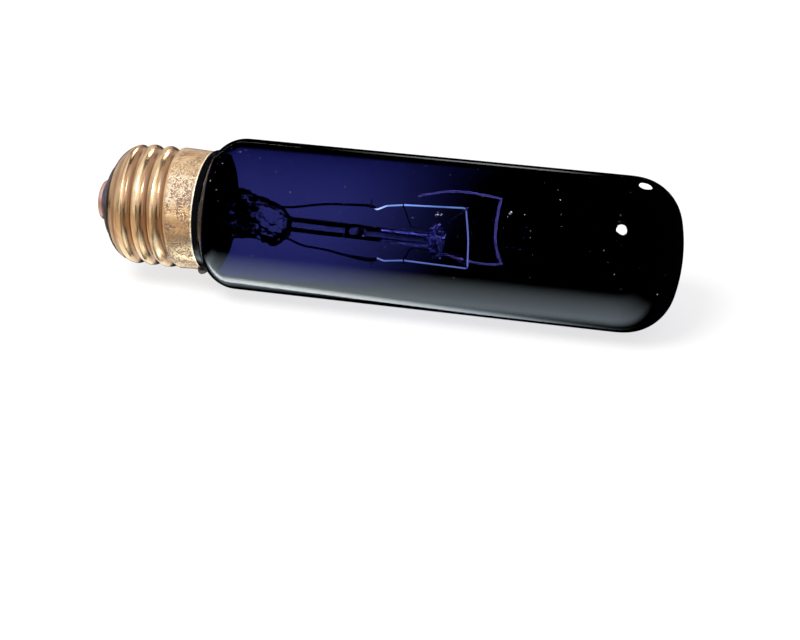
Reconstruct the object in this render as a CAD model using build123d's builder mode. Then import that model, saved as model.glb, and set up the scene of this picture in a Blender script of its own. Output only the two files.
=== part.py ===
from build123d import *
import os
from math import acos, asin, atan, atan2, cos, degrees, radians, sin, sqrt

os.makedirs("parts", exist_ok=True)

# Sizes are in millimetres and angles in degrees. Places along the bulb are counted from the rim of the
# brass cap, positive towards the dome of the glass and negative towards the centre contact. Heights are
# counted from the bulb's axis, and angles round the axis from the top towards the front.

# Glass envelope: a straight tube with a flattened dome and a shoulder that necks in to the cap
glass_diameter = 32.5
glass_wall = 0.8
glass_length = 101.9
crown_radius = 34.4
dome_corner_radius = 10.4
shoulder_radius = 4.1
neck_sweep_radius = 3.0
neck_sweep_start = -0.4
neck_diameter = 23.8
neck_end_diameter = 21.8
neck_end = -7.0

# Glass stem: a flare that is sealed to the neck, a tube, and a press that grips the wires
stem_diameter = 10.8
stem_wall = 0.9
stem_bore_end = 9.0
flare_margin = 0.3
press_start = 5.5
press_full = 10.5
press_thickness = 4.2
press_tip = 19.4

# Exhaust tube, sealed off inside the cap
exhaust_diameter = 3.8
exhaust_wall = 0.6
exhaust_end = -11.0
exhaust_grip = 1.5

# Arbor: a glass rod that hangs a little low, with a pressed button at its end, whose place is counted back
# from the end of the filament's U
arbor_diameter = 3.4
arbor_grip = 2.4
arbor_drop = 1.0
button_place = 6.9
button_drop = 1.4
button_diameter = 7.0
button_thickness = 3.0
button_edge_radius = 1.1

# Filament: a coil in a U, here with the outside diameter of its coil. Its start and its hooks are counted
# back from the end of the U.
filament_diameter = 0.5
filament_reach = 57.0
filament_start = 20.0
filament_hook = 13.9
upper_start_height = 4.8
upper_hook_height = 5.8
upper_corner_height = 6.9
lower_start_height = -7.4
lower_hook_height = -7.0
lower_corner_height = -7.0
filament_corner_radius = 1.6
filament_hook_radius = 6.0

# Lead wires, each welded from an inner lead, a short seal wire and an outer lead
lead_diameter = 0.7
lead_bend_radius = 6.0
lead_bend_place = 16.5
seal_wire_diameter = 0.5
seal_front = 14.4
seal_back = 6.5
upper_seal_height = 2.65
lower_seal_height = -3.95
outer_lead_diameter = 0.4
outer_lead_bend_radius = 1.5
clamp_diameter = 1.2
clamp_length = 1.5
clamp_grip = 1.0
lead_end_rise = 1.4

# Support wires, which hold the filament in small loops
support_diameter = 0.3
support_loop_gap = 0.05
support_root_offset = 2.4
support_root_gap = 0.9
support_knee = 1.5
support_bend_radius = 0.8

# Brass cap: thin sheet with a plain skirt, a rolled thread and a rounded end
rim_diameter = 25.6
crest_diameter = 26.06
skirt_length = 6.2
shell_wall = 0.3
thread_pitch = 25.4 / 7
thread_arc_radius = 1.19
thread_end = -6.8
thread_end_angle = 140
thread_turns = 4
thread_runout_turn = 1 / 3
crest_land_depth = 0.02
round_start = -15.0
round_radius = 6.2
round_turn = 76

# Insulator of dark glass, and the centre contact on it
insulator_gap = 0.05
insulator_inner_face = -18.6
insulator_step = -21.6
insulator_neck_place = -22.7
insulator_neck_diameter = 10.0
insulator_face = -23.6
insulator_face_diameter = 9.4
contact_hole_diameter = 1.8
eyelet_diameter = 8.0
eyelet_thickness = 1.0
eyelet_edge_radius = 0.5
contact_solder_diameter = 5.2
contact_solder_height = 1.1
contact_flat_diameter = 1.6
contact_solder_plug = 0.6
centre_lead_end = -24.9

# Cement between neck and skirt, with a bead that stands out at the rim, and the lump of the side joint
cement_depth = 4.6
bead_length = 1.7
bead_height = 0.65
side_joint_angle = 142
side_joint_place = 0.45
side_joint_diameter = 2.2
side_joint_height = 0.3
side_lead_gap = 0.06
side_lead_turn = 2.2
side_lead_rise = 1.0

glass_radius = glass_diameter / 2
neck_radius = neck_diameter / 2
neck_end_radius = neck_end_diameter / 2
stem_radius = stem_diameter / 2
rim_radius = rim_diameter / 2
crest_radius = crest_diameter / 2
neck_taper = (neck_radius - neck_end_radius) / (neck_sweep_start - neck_end)
skirt_taper = (crest_radius - rim_radius) / skirt_length
contact_face = insulator_face - eyelet_thickness
contact_tip = contact_face - contact_solder_height

# The bulb lies along X on its glass, with the middle of its length over the origin.
rim_x = -(glass_length + contact_tip) / 2
section = Plane(origin=(rim_x, 0, glass_radius), x_dir=(1, 0, 0), z_dir=(0, -1, 0))
plan = Plane(origin=section.origin, x_dir=(1, 0, 0), z_dir=(0, 0, -1))
bulb_axis = Axis(section.origin, (1, 0, 0))


def around(place, radius, angle):
    # A point on a circle about the bulb's axis.
    turned = radians(angle)
    return section.origin + Vector(place, -radius * sin(turned), radius * cos(turned))


def bulb_outline(inset):
    # Half of the envelope's section, from the neck's end to the crown, set in by a depth.
    sweep_reach = neck_sweep_radius + shoulder_radius
    turn = acos(1 - (glass_radius - neck_radius) / sweep_reach)
    shoulder_end = neck_sweep_start + sweep_reach * sin(turn)
    crown_centre = glass_length - crown_radius
    corner_height = glass_radius - dome_corner_radius
    corner_reach = sqrt((crown_radius - dome_corner_radius) ** 2 - corner_height**2)
    corner_centre = crown_centre + corner_reach
    lean = degrees(atan2(corner_height, corner_reach))
    turn = degrees(turn)
    neck = Line((neck_end, neck_end_radius - inset), (neck_sweep_start, neck_radius - inset))
    CenterArc((neck_sweep_start, neck_radius + neck_sweep_radius), neck_sweep_radius + inset, -90, turn)
    CenterArc((shoulder_end, glass_radius - shoulder_radius), shoulder_radius - inset, 90 + turn, -turn)
    Line((shoulder_end, glass_radius - inset), (corner_centre, glass_radius - inset))
    CenterArc((corner_centre, corner_height), dome_corner_radius - inset, 90, lean - 90)
    crown = CenterArc((crown_centre, 0), crown_radius - inset, lean, -lean)
    return neck @ 0, crown @ 1


def neck_height(place):
    # How far the taper of the neck stands from the axis at a place along the bulb.
    return neck_radius + neck_taper * (place - neck_sweep_start)


def round_wire(diameter, bend_radius, *points):
    # A wire of round section along straight runs with bends between them.
    with BuildLine() as route:
        if len(points) > 2:
            FilletPolyline(*points, radius=bend_radius)
        else:
            Line(*points)
    with BuildSketch(Plane(route.line @ 0, z_dir=route.line % 0)) as wire_section:
        Circle(diameter / 2)
    sweep(sections=wire_section.sketch, path=route.line)


def in_section(place, height):
    # A point of the upright plane through the bulb's axis.
    return section.from_local_coords((place, height))


# Glass envelope
with BuildPart() as glass_envelope:
    with BuildSketch(section):
        with BuildLine():
            outer_neck, outer_crown = bulb_outline(0)
            inner_neck, inner_crown = bulb_outline(glass_wall)
            Line(outer_neck, inner_neck)
            Line(outer_crown, inner_crown)
        make_face()
    revolve(axis=bulb_axis)

# Filament, from one lead wire round the U to the other
start_place = filament_reach - filament_start
hook_place = filament_reach - filament_hook
filament_points = [
    in_section(start_place, upper_start_height),
    in_section(hook_place, upper_hook_height),
    in_section(filament_reach, upper_corner_height),
    in_section(filament_reach, lower_corner_height),
    in_section(hook_place, lower_hook_height),
    in_section(start_place, lower_start_height),
]
filament_bends = [filament_hook_radius, filament_corner_radius, filament_corner_radius, filament_hook_radius]
with BuildPart() as filament:
    with BuildLine() as filament_route:
        FilletPolyline(*filament_points, radius=filament_bends)
    with BuildSketch(Plane(filament_route.line @ 0, z_dir=filament_route.line % 0)):
        Circle(filament_diameter / 2)
    sweep(path=filament_route.line)

# Inner leads: each runs out of the press to a clamp on the filament's end, and its tip turns outwards
inner_leads = {}
seal_wires = {}
lead_sides = {
    "upper": (upper_seal_height, upper_start_height, filament_route.line % 0, 1),
    "lower": (lower_seal_height, lower_start_height, filament_route.line % 1 * -1, -1),
}
clamp_reach = clamp_length - clamp_grip
for side, (seal_height, start_height, leg_direction, outwards) in lead_sides.items():
    leg_start = in_section(start_place, start_height)
    lead_tip = leg_start - leg_direction * clamp_reach
    with BuildPart() as inner_lead:
        round_wire(
            lead_diameter,
            [lead_bend_radius, lead_diameter],
            in_section(seal_front, seal_height),
            in_section(lead_bend_place, seal_height),
            lead_tip,
            lead_tip + Vector(0, 0, outwards * lead_end_rise),
        )
        with BuildSketch(Plane(lead_tip, z_dir=leg_direction)) as clamp_section:
            Circle(clamp_diameter / 2)
        extrude(amount=clamp_length)
        add(filament.part, mode=Mode.SUBTRACT)
    inner_lead.part.label = f"inner_lead_{side}"
    inner_leads[side] = inner_lead.part

    with BuildPart() as seal_wire:
        round_wire(
            seal_wire_diameter,
            None,
            in_section(seal_back, seal_height),
            in_section(seal_front, seal_height),
        )
    seal_wire.part.label = f"seal_wire_{side}"
    seal_wires[side] = seal_wire.part

# Exhaust tube, open into the press and closed by a round tip
exhaust_radius = exhaust_diameter / 2
exhaust_bore = exhaust_radius - exhaust_wall
exhaust_root = stem_bore_end + exhaust_grip
exhaust_tip_centre = exhaust_end + exhaust_radius
with BuildPart() as exhaust_tube:
    with BuildSketch(section):
        with BuildLine():
            outside = CenterArc((exhaust_tip_centre, 0), exhaust_radius, 180, -90)
            inside = CenterArc((exhaust_tip_centre, 0), exhaust_bore, 180, -90)
            Line(outside @ 0, inside @ 0)
            Polyline(outside @ 1, (exhaust_root, exhaust_radius), (exhaust_root, exhaust_bore), inside @ 1)
        make_face()
    revolve(axis=bulb_axis)

# Support wires: two behind the button for the legs, two before it for the corners of the U
loop_radius = (filament_diameter + support_diameter) / 2 + support_loop_gap
button_centre = in_section(filament_reach - button_place, -button_drop)
filament_arcs = filament_route.edges().filter_by(GeomType.CIRCLE).sort_by(Axis.X)
support_places = {
    "rear_lower": filament_arcs[:2].sort_by(Axis.Z)[0],
    "rear_upper": filament_arcs[:2].sort_by(Axis.Z)[1],
    "front_lower": filament_arcs[2:].sort_by(Axis.Z)[0],
    "front_upper": filament_arcs[2:].sort_by(Axis.Z)[1],
}
support_wires = {}
for place_name, bend in support_places.items():
    loop_centre = bend @ 0.5
    along = bend % 0.5
    upwards = 1 if loop_centre.Z > button_centre.Z else -1
    forwards = 1 if loop_centre.X > button_centre.X else -1
    inwards = along.rotate(Axis.Y, 90)
    if inwards.dot(button_centre - loop_centre) < 0:
        inwards = inwards * -1
    root = button_centre + Vector(forwards * support_root_gap / 2, 0, upwards * support_root_offset)
    foot = loop_centre + inwards * loop_radius
    knee = Vector(foot.X - forwards * support_knee, 0, root.Z)
    with BuildPart() as support_wire:
        if forwards > 0:
            round_wire(support_diameter, None, root, foot)
        else:
            round_wire(support_diameter, support_bend_radius, root, knee, foot)
        with Locations(Plane(loop_centre, z_dir=along)):
            Torus(loop_radius, support_diameter / 2)
    support_wire.part.label = f"support_wire_{place_name}"
    support_wires[place_name] = support_wire.part

# Arbor rod with its button, pressed round the roots of the support wires
arbor_root = in_section(press_tip - arbor_grip, -arbor_drop)
arbor_direction = (button_centre - arbor_root).normalized()
with BuildPart() as arbor_rod:
    with BuildSketch(Plane(arbor_root, z_dir=arbor_direction)):
        Circle(arbor_diameter / 2)
    extrude(amount=(button_centre - arbor_root).length)
    with BuildSketch(Plane(button_centre - arbor_direction * button_thickness / 2, z_dir=arbor_direction)):
        Circle(button_diameter / 2)
    extrude(amount=button_thickness)
    fillet(arbor_rod.edges().filter_by(GeomType.CIRCLE).group_by(SortBy.RADIUS)[-1], button_edge_radius)
    for support_wire in support_wires.values():
        add(support_wire, mode=Mode.SUBTRACT)

# Outer leads: one to the centre contact, one round the neck's end and up to the rim
with BuildPart() as centre_lead:
    round_wire(
        outer_lead_diameter,
        outer_lead_bend_radius,
        in_section(seal_back, upper_seal_height),
        in_section(exhaust_end, upper_seal_height),
        in_section(exhaust_end - upper_seal_height, 0),
        in_section(centre_lead_end, 0),
    )
side_lead_back = neck_end - side_lead_turn
side_lead_front_radius = neck_height(side_joint_place) + side_lead_gap + outer_lead_diameter / 2
side_lead_back_radius = neck_height(side_lead_back) + side_lead_gap + outer_lead_diameter / 2
with BuildPart() as side_lead:
    round_wire(
        outer_lead_diameter,
        [outer_lead_bend_radius, outer_lead_bend_radius, outer_lead_diameter],
        in_section(seal_back, lower_seal_height),
        in_section(side_lead_back, lower_seal_height),
        around(side_lead_back, side_lead_back_radius, side_joint_angle),
        around(side_joint_place, side_lead_front_radius, side_joint_angle),
        around(side_joint_place, side_lead_front_radius + side_lead_rise, side_joint_angle),
    )

# Glass stem: flare, tube and rounded press in one turned form, flattened from both sides at the press
bore_radius = stem_radius - stem_wall
flare_lip = neck_end_radius - glass_wall - flare_margin
flare_radius = flare_lip - stem_radius
flare_centre = (neck_end + flare_radius, flare_lip)
press_depth = stem_radius - press_thickness / 2
press_ease = ((press_full - press_start) ** 2 + press_depth**2) / (4 * press_depth)
press_turn = degrees(asin((press_full - press_start) / (2 * press_ease)))
with BuildPart() as stem_flare:
    with BuildSketch(section):
        with BuildLine():
            outer_flare = CenterArc(flare_centre, flare_radius, 180, 90)
            nose = CenterArc((press_tip - stem_radius, 0), stem_radius, 90, -90)
            bore_end = CenterArc((stem_bore_end - bore_radius, 0), bore_radius, 0, 90)
            inner_flare = CenterArc(flare_centre, flare_radius + stem_wall, 270, -90)
            Line(outer_flare @ 1, nose @ 0)
            Line(nose @ 1, bore_end @ 0)
            Line(bore_end @ 1, inner_flare @ 0)
            lip_back = neck_end - stem_wall
            Polyline(
                inner_flare @ 1, (lip_back, neck_end_radius), (neck_end, neck_end_radius), outer_flare @ 0
            )
        make_face()
    revolve(axis=bulb_axis)
    with BuildSketch(plan):
        with BuildLine():
            first = CenterArc((press_start, stem_radius - press_ease), press_ease, 90, -press_turn)
            second = CenterArc(
                (press_full, press_thickness / 2 + press_ease), press_ease, 270 - press_turn, press_turn
            )
            Polyline(
                second @ 1,
                (press_tip, press_thickness / 2),
                (press_tip, stem_radius + press_ease),
                (press_start, stem_radius + press_ease),
                first @ 0,
            )
        make_face()
        mirror(about=Plane.XZ)
    extrude(amount=stem_diameter, both=True, mode=Mode.SUBTRACT)
    add(exhaust_tube.part, mode=Mode.SUBTRACT)
    add(arbor_rod.part, mode=Mode.SUBTRACT)
    for wire in [*inner_leads.values(), *seal_wires.values(), centre_lead.part, side_lead.part]:
        add(wire, mode=Mode.SUBTRACT)


def cap_outline(inset, rim_reach):
    # Half of the cap's turned section, set in by a depth, from past the rim to the end of its rounding.
    skirt_end = (-skirt_length, crest_radius - inset)
    mouth = (rim_reach, rim_radius - inset - skirt_taper * rim_reach)
    skirt = Polyline(mouth, skirt_end, (round_start, crest_radius - inset))
    bend = CenterArc((round_start, crest_radius - round_radius), round_radius - inset, 90, round_turn)
    return skirt @ 0, bend @ 1


def roll_thread(inset):
    # Cuts a right-hand thread of equal round crests and roots, set in by a depth. The groove comes in over
    # the rounded end, winds to the skirt and there runs out as it widens off the surface.
    crest_arc = thread_arc_radius - inset
    root_arc = thread_arc_radius + inset
    wave_top = crest_radius - inset + crest_land_depth
    flank = asin(thread_pitch / 2 / (crest_arc + root_arc))
    depth = (crest_arc + root_arc) * (1 - cos(flank))
    root_radius = wave_top - depth
    land = sqrt(crest_arc * crest_land_depth)
    land_angle = degrees(asin(land / crest_arc))
    flank = degrees(flank)
    winding = thread_turns * thread_pitch
    runout = thread_runout_turn * thread_pitch
    runout_slope = degrees(atan((depth + crest_land_depth + land) / runout))
    across = around(0, 1, thread_end_angle + 90) - section.origin
    for start, length, slope in [(thread_end - winding, winding, 0), (thread_end, runout, runout_slope)]:
        centre = section.origin + Vector(start, 0, 0)
        with BuildSketch(Plane(centre, x_dir=(1, 0, 0), z_dir=across)) as groove:
            with BuildLine():
                left = CenterArc(
                    (-thread_pitch / 2, wave_top - crest_arc), crest_arc, 90 - land_angle, land_angle - flank
                )
                CenterArc((0, root_radius + root_arc), root_arc, 270 - flank, 2 * flank)
                right = CenterArc(
                    (thread_pitch / 2, wave_top - crest_arc), crest_arc, 90 + flank, land_angle - flank
                )
                outside = wave_top + depth
                Polyline(right @ 1, ((right @ 1).X, outside), ((left @ 0).X, outside), left @ 0)
            make_face()
        with BuildLine() as turns:
            Helix(thread_pitch, length, root_radius, centre, (1, 0, 0), cone_angle=slope)
        path = turns.line.rotate(bulb_axis, thread_end_angle)
        sweep(sections=groove.sketch, path=path, is_frenet=True, mode=Mode.SUBTRACT)


# Brass shell: the outer form with its thread, less the same form one sheet thickness further in
with BuildPart() as cap_hollow:
    with BuildSketch(plan):
        with BuildLine():
            mouth, end = cap_outline(shell_wall, shell_wall)
            past_end = end.X - shell_wall
            Polyline(end, (past_end, end.Y), (past_end, 0), (mouth.X, 0), mouth)
        make_face()
    revolve(axis=bulb_axis)
    roll_thread(shell_wall)
with BuildPart() as cap_shell:
    with BuildSketch(plan):
        with BuildLine():
            mouth, end = cap_outline(0, 0)
            Polyline(end, (end.X, 0), (mouth.X, 0), mouth)
        make_face()
    revolve(axis=bulb_axis)
    roll_thread(0)
    add(cap_hollow.part, mode=Mode.SUBTRACT)

# Insulator: moulded into the rounded end, and standing out of it as a stepped cone
seat_radius = round_radius - shell_wall - insulator_gap
seat_centre = (round_start, crest_radius - round_radius)
seat_start = degrees(asin((round_start - insulator_inner_face) / seat_radius))
contact_hole_radius = contact_hole_diameter / 2
with BuildPart() as insulator:
    with BuildSketch(section):
        with BuildLine():
            seat = CenterArc(seat_centre, seat_radius, 90 + seat_start, round_turn - seat_start)
            Polyline(
                seat @ 1,
                (insulator_step, (seat @ 1).Y),
                (insulator_neck_place, insulator_neck_diameter / 2),
                (insulator_face, insulator_face_diameter / 2),
                (insulator_face, contact_hole_radius),
                (insulator_inner_face, contact_hole_radius),
                seat @ 0,
            )
        make_face()
    revolve(axis=bulb_axis)

# Centre contact: a rounded eyelet, with solder through its hole and domed over it
with BuildPart() as contact_eyelet:
    with BuildSketch(Plane(in_section(insulator_face, 0), z_dir=(-1, 0, 0))):
        Circle(eyelet_diameter / 2)
        Circle(contact_hole_radius, mode=Mode.SUBTRACT)
    extrude(amount=eyelet_thickness)
    outer_edge = contact_eyelet.faces().sort_by(Axis.X)[0].edges().sort_by(SortBy.RADIUS)[-1]
    fillet(outer_edge, eyelet_edge_radius)
with BuildPart() as contact_solder:
    with BuildSketch(section):
        with BuildLine():
            flat_edge = (contact_tip, contact_flat_diameter / 2)
            foot_edge = (contact_face, contact_solder_diameter / 2)
            plug_end = insulator_face + contact_solder_plug
            Polyline((contact_tip, 0), flat_edge)
            TangentArc(flat_edge, foot_edge, tangent=(0, 1))
            Polyline(
                foot_edge,
                (contact_face, contact_hole_radius),
                (plug_end, contact_hole_radius),
                (plug_end, 0),
                (contact_tip, 0),
            )
        make_face()
    revolve(axis=bulb_axis)
    add(centre_lead.part, mode=Mode.SUBTRACT)

# Cement ring, from well inside the skirt to a bead over the rim's edge
with BuildPart() as basing_cement:
    with BuildSketch(section):
        with BuildLine():
            bead = ThreePointArc(
                (0, rim_radius),
                (bead_length / 3, rim_radius + bead_height),
                (bead_length, neck_radius),
            )
            Polyline(
                bead @ 1,
                (-cement_depth, neck_height(-cement_depth) - glass_wall / 2),
                (-cement_depth, rim_radius - shell_wall + skirt_taper * cement_depth),
                (0, rim_radius - shell_wall),
                bead @ 0,
            )
        make_face()
    revolve(axis=bulb_axis)
    add(glass_envelope.part, mode=Mode.SUBTRACT)
    add(side_lead.part, mode=Mode.SUBTRACT)

# Lump of the side joint, over the rim's edge and the end of the side lead
with BuildPart() as side_solder:
    with Locations(around(side_joint_place, rim_radius + side_joint_height, side_joint_angle)):
        Sphere(side_joint_diameter / 2)
    for neighbour in (glass_envelope, cap_shell, basing_cement, side_lead):
        add(neighbour.part, mode=Mode.SUBTRACT)

pieces = {
    "glass_envelope": glass_envelope.part,
    "stem_flare": stem_flare.part,
    "exhaust_tube": exhaust_tube.part,
    "arbor_rod": arbor_rod.part,
    "filament": filament.part,
    "centre_lead": centre_lead.part,
    "side_lead": side_lead.part,
    "cap_shell": cap_shell.part,
    "insulator": insulator.part,
    "contact_eyelet": contact_eyelet.part,
    "contact_solder": contact_solder.part,
    "basing_cement": basing_cement.part,
    "side_solder": side_solder.part,
}
for side, lead in inner_leads.items():
    pieces[f"inner_lead_{side}"] = lead
    pieces[f"seal_wire_{side}"] = seal_wires[side]
for place_name, support_wire in support_wires.items():
    pieces[f"support_wire_{place_name}"] = support_wire
for name, piece in pieces.items():
    piece.label = name
    export_step(piece, f"parts/{name}.step")
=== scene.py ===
import bpy
import math
import random
from mathutils import Matrix, Vector, noise


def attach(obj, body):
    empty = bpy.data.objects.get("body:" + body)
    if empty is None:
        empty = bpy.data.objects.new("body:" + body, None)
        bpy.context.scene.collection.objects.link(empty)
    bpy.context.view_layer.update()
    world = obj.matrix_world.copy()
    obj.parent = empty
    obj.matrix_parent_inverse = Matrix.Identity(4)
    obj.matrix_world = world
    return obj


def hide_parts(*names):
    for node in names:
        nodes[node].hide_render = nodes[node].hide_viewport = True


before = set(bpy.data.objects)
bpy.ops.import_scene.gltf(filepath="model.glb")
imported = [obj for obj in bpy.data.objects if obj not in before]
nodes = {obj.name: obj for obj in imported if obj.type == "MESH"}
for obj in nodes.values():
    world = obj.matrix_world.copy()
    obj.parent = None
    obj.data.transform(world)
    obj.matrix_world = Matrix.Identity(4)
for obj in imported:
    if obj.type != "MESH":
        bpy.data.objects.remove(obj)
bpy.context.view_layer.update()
scene = bpy.context.scene
mm = 0.001
noise.seed_set(2)  # the same dents each time

# the bulb lies along X; places are counted in mm from the rim of the cap, heights from the bulb's axis
bulb = {"rimX": -38.1, "axisZ": 16.25}
bulbAxis = Vector((bulb["rimX"], 0, bulb["axisZ"])) * mm


def spot(place, height, angle=0.0):
    turn = math.radians(angle)  # from the top towards the front
    side, up = -height * math.sin(turn), height * math.cos(turn)
    return bulbAxis + Vector((place, side, up)) * mm


def fromAxis(vertex):
    # the other way round: place, height and angle of a vertex
    off = vertex.co - bulbAxis
    return off.x / mm, math.hypot(off.y, off.z) / mm, math.degrees(math.atan2(-off.y, off.z))


def scaleHeight(vertex, share):
    off = vertex.co - bulbAxis
    vertex.co.y, vertex.co.z = bulbAxis.y + off.y * share, bulbAxis.z + off.z * share


def arcPoints(place, height, radius, start, sweep, steps):
    turns = [math.radians(start + sweep * i / steps) for i in range(steps + 1)]
    return [(place + radius * math.cos(t), height + radius * math.sin(t)) for t in turns]


def linePoints(first, last, step):
    count = max(1, round(math.dist(first, last) / step))
    return [tuple(a + (b - a) * i / count for a, b in zip(first, last)) for i in range(count + 1)]


def joinPoints(*runs):
    # one outline of several runs, without the points that two runs share
    points = []
    for run in runs:
        for point in run:
            if not points or math.dist(points[-1], point) > 0.01:
                points.append(point)
    return points


def smoothStep(low, high, value):
    t = min(1.0, max(0.0, (value - low) / (high - low)))
    return t * t * (3 - 2 * t)


def selectOnly(*pieces):
    # the first one becomes active
    bpy.ops.object.select_all(action="DESELECT")
    for piece in pieces:
        piece.select_set(True)
    bpy.context.view_layer.objects.active = pieces[0]


def joinPieces(*pieces):
    selectOnly(*pieces)
    bpy.ops.object.join()


def nameNew(name):
    piece = bpy.context.object
    piece.name = piece.data.name = name
    return piece


def addPlane(name, size, **where):
    bpy.ops.object.select_all(action="DESELECT")
    bpy.ops.mesh.primitive_plane_add(size=size, **where)
    return nameNew(name)


def startVertex(name, point):
    # a small plane, merged to the first vertex of an outline
    piece = addPlane(name, mm, location=point)
    bpy.ops.object.transform_apply(location=True, rotation=True, scale=True)
    bpy.ops.object.mode_set(mode="EDIT")
    bpy.ops.mesh.select_mode(type="VERT")
    bpy.ops.mesh.select_all(action="SELECT")
    bpy.ops.mesh.merge(type="CENTER")
    return piece


def extrudeTo(points):
    for before, after in zip(points, points[1:]):
        bpy.ops.mesh.extrude_vertices_move(TRANSFORM_OT_translate={"value": after - before})


def turnPiece(name, outline, steps):
    # the outline is drawn point by point and spun once round the bulb's axis
    points = [spot(*point) for point in outline]
    piece = startVertex(name, points[0])
    extrudeTo(points)
    bpy.ops.mesh.select_all(action="SELECT")
    bpy.ops.mesh.spin(steps=steps, angle=2 * math.pi, center=bulbAxis, axis=(1, 0, 0))
    bpy.ops.mesh.select_all(action="SELECT")
    bpy.ops.mesh.remove_doubles(threshold=3e-6)
    bpy.ops.mesh.normals_make_consistent(inside=False)
    bpy.ops.object.mode_set(mode="OBJECT")
    bpy.ops.object.shade_smooth()
    return piece


def smoothByAngle(piece, degrees):
    selectOnly(piece)
    bpy.ops.object.shade_smooth_by_angle(angle=math.radians(degrees))


def finishPiece(piece, material, slotName, *replaced):
    piece.data.materials.clear()
    piece.data.materials.append(material)
    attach(piece, "root")
    if replaced:
        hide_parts(*replaced)
    print(piece.name, len(piece.data.polygons), "faces")


# node trees

def newMaterial(name):
    material = bpy.data.materials.new(name)
    material.use_nodes = True
    material.node_tree.nodes.clear()
    return material, material.node_tree


def addNode(tree, kind, inputs=None, **settings):
    # an input is a value, a socket, or a node whose first output is meant
    node = tree.nodes.new("ShaderNode" + kind)
    for key, value in settings.items():
        setattr(node, key, value)
    for key, value in (inputs or {}).items():
        if isinstance(value, bpy.types.Node):
            value = value.outputs[0]
        if isinstance(value, bpy.types.NodeSocket):
            tree.links.new(value, node.inputs[key])
        else:
            node.inputs[key].default_value = value
    return node


def mathNode(tree, operation, first, *more):
    # more than two values are taken one after the other
    for value in more or (0.0,):
        first = addNode(tree, "Math", {0: first, 1: value}, operation=operation).outputs[0]
    return first


def multiply(tree, *values):
    return mathNode(tree, "MULTIPLY", *values)


def larger(tree, *values):
    return mathNode(tree, "MAXIMUM", *values)


def fromOne(tree, value):
    return mathNode(tree, "SUBTRACT", 1.0, value)


def rangeNode(tree, value, low, high, toLow=0.0, toHigh=1.0):
    sockets = {"Value": value, "From Min": low, "From Max": high, "To Min": toLow, "To Max": toHigh}
    return addNode(tree, "MapRange", sockets, interpolation_type="SMOOTHSTEP").outputs[0]


def mixColour(tree, factor, first, second):
    sockets = {"Factor": factor, 6: first, 7: second}
    return addNode(tree, "Mix", sockets, data_type="RGBA").outputs[2]


def blend(tree, value, span, first, second):
    return mixColour(tree, rangeNode(tree, value, *span), first, second)


def noiseNode(tree, vector, scale, detail=3.0, roughness=0.55):
    sockets = {"Vector": vector, "Scale": scale, "Detail": detail, "Roughness": roughness}
    return addNode(tree, "TexNoise", sockets).outputs[0]


def objectCoords(tree):
    return addNode(tree, "TexCoord").outputs["Object"]


def lightPath(tree):
    return addNode(tree, "LightPath").outputs


def bump(tree, height, strength, depth, normal=None):
    sockets = {"Height": height, "Strength": strength, "Distance": depth * mm}
    if normal:
        sockets["Normal"] = normal
    return addNode(tree, "Bump", sockets).outputs[0]


def showSurface(tree, shader, **more):
    addNode(tree, "OutputMaterial", {"Surface": shader, **more})


def principled(tree, inputs):
    showSurface(tree, addNode(tree, "BsdfPrincipled", inputs))


def newGroup(name, inputs, outputs):
    group = bpy.data.node_groups.new(name, "ShaderNodeTree")
    for label, value in inputs.items():
        socket = group.interface.new_socket(label, in_out="INPUT", socket_type="NodeSocketFloat")
        socket.default_value = value
    for label in outputs:
        group.interface.new_socket(label, in_out="OUTPUT", socket_type="NodeSocketFloat")
    return group


def makeAxisGroup():
    # place along the bulb and distance from its axis, both in mm
    group = newGroup("roundTheAxis", {}, ["Along", "Out"])
    leave = group.nodes.new("NodeGroupOutput")
    centred = addNode(group, "Mapping", {
        "Vector": objectCoords(group), "Location": -bulbAxis * 1000, "Scale": (1000, 1000, 1000)})
    parts = addNode(group, "SeparateXYZ", {0: centred}).outputs
    squares = [multiply(group, part, part) for part in (parts[1], parts[2])]
    group.links.new(parts[0], leave.inputs["Along"])
    group.links.new(mathNode(group, "SQRT", mathNode(group, "ADD", *squares)), leave.inputs["Out"])
    return group


def makeSpeckGroup():
    # small irregular specks, more of them where a broad noise says so
    speck = {"clouding": 0.45, "fewest": 0.86, "gain": 0.4, "softness": 0.07}
    group = newGroup("speckMask", {"Scale": 1500.0, "Spread": 250.0, "Amount": 0.5}, ["Mask"])
    entry = group.nodes.new("NodeGroupInput")
    leave = group.nodes.new("NodeGroupOutput")
    coords = objectCoords(group)
    fine = noiseNode(group, coords, entry.outputs["Scale"], 2.0, 0.6)
    broad = noiseNode(group, coords, entry.outputs["Spread"], 2.0, 0.5)
    cloud = multiply(group, mathNode(group, "SUBTRACT", broad, 0.5), speck["clouding"])
    gain = multiply(group, entry.outputs["Amount"], speck["gain"])
    edge = mathNode(group, "SUBTRACT", speck["fewest"], gain)
    level = mathNode(group, "ADD", fine, cloud)
    mask = rangeNode(group, level, edge, mathNode(group, "ADD", edge, speck["softness"]))
    group.links.new(mask, leave.inputs["Mask"])
    return group


axisGroup = makeAxisGroup()
speckGroup = makeSpeckGroup()


def aroundAxis(tree):
    return addNode(tree, "Group", node_tree=axisGroup).outputs


def specks(tree, scale, spread, amount):
    sockets = {"Scale": scale, "Spread": spread, "Amount": amount}
    return addNode(tree, "Group", sockets, node_tree=speckGroup).outputs["Mask"]


# finishes: a span is from, to and, where they aren't 0 and 1, the two values that these become;
# a bump is its strength and its depth in mm
midNoise = (0.3, 0.7)  # most of a noise lies between these


def lightThrough(tree, shader, colour):
    # glass that doesn't stop the light on its way to what lies behind it
    clear = addNode(tree, "BsdfTransparent", {"Color": colour})
    return addNode(tree, "MixShader", {0: lightPath(tree)["Is Shadow Ray"], 1: shader, 2: clear})


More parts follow.
